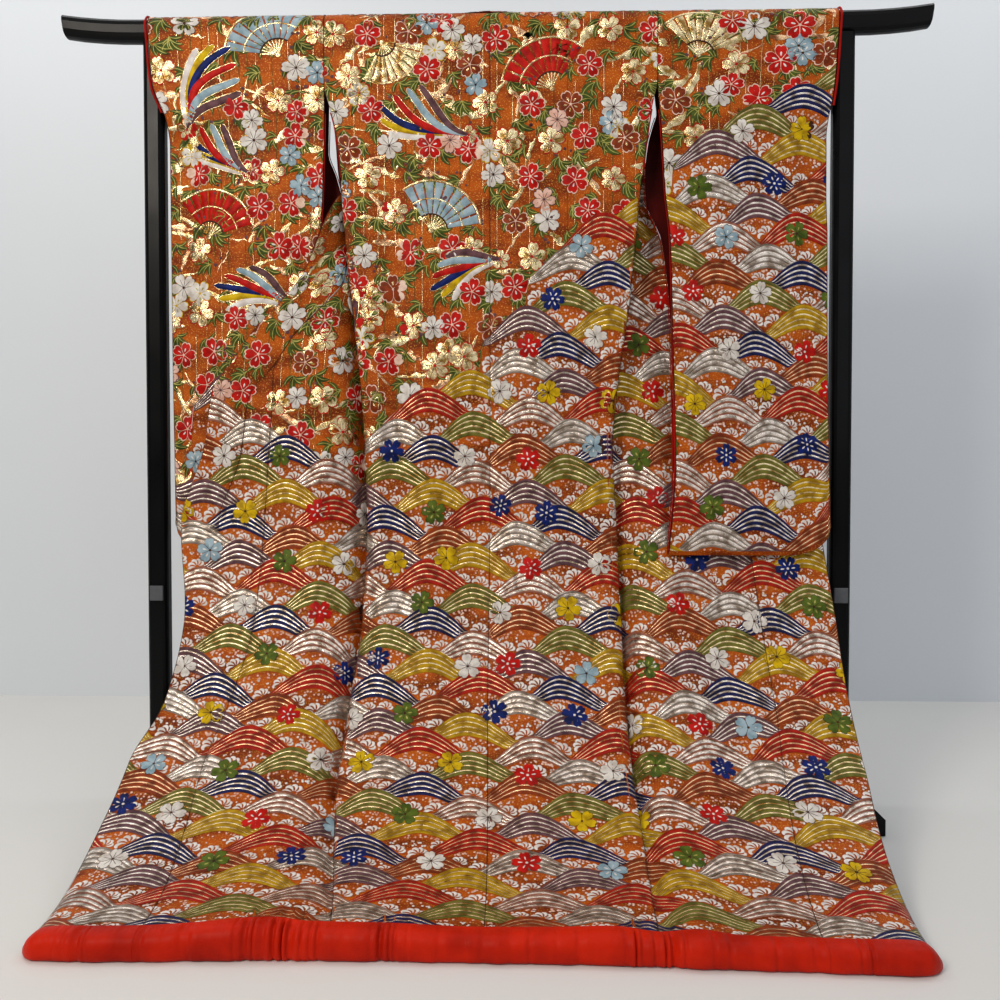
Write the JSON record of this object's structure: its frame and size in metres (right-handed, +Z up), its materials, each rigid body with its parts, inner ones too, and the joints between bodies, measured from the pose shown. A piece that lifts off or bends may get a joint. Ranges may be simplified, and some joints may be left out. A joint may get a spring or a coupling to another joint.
{
  "type": "uchikake wedding kimono on a kimono stand",
  "caption": "Full-length padded-hem brocade wedding kimono hung over a lacquered kimono stand, rod through the sleeves, fronts opened aside, train drawn forward on the floor.",
  "frame": {"origin": "on the floor, in the middle of the whole part's box", "axes": "+X along the stand's rod, towards the wearer's right sleeve as hung; +Y from the train towards the stand; +Z up"},
  "size_m": [1.663, 0.8342, 1.5295],
  "materials": {
    "brocade": "woven silk brocade, orange ground with coloured silk and gold foil",
    "collar_brocade": "the same woven silk brocade, folded over as the collar",
    "lining_silk": "plain red silk lining, rolled out as an edging",
    "hem_satin": "red silk satin over cotton wadding",
    "black_lacquer": "black lacquer, polished",
    "grey_metal": "grey, semi-matt"
  },
  "bodies": {
    "root": {"body_panel_left": "brocade", "body_panel_right": "brocade", "collar": "collar_brocade", "cuff_edging_left": "lining_silk", "cuff_edging_right": "lining_silk", "hem_roll_left": "hem_satin", "hem_roll_middle": "hem_satin", "hem_roll_right": "hem_satin", "overlap_panel_left": "brocade", "overlap_panel_right": "brocade", "side_vent_edging_left": "lining_silk", "side_vent_edging_right": "lining_silk", "sleeve_left": "brocade", "sleeve_opening_edging_left": "lining_silk", "sleeve_opening_edging_right": "lining_silk", "sleeve_right": "brocade", "stand_foot_left": "black_lacquer", "stand_foot_right": "black_lacquer", "stand_joint_plate_left": "grey_metal", "stand_joint_plate_right": "grey_metal", "stand_post_left": "black_lacquer", "stand_post_right": "black_lacquer", "stand_rail": "black_lacquer", "stand_rod": "black_lacquer"}
  },
  "joints": []
}
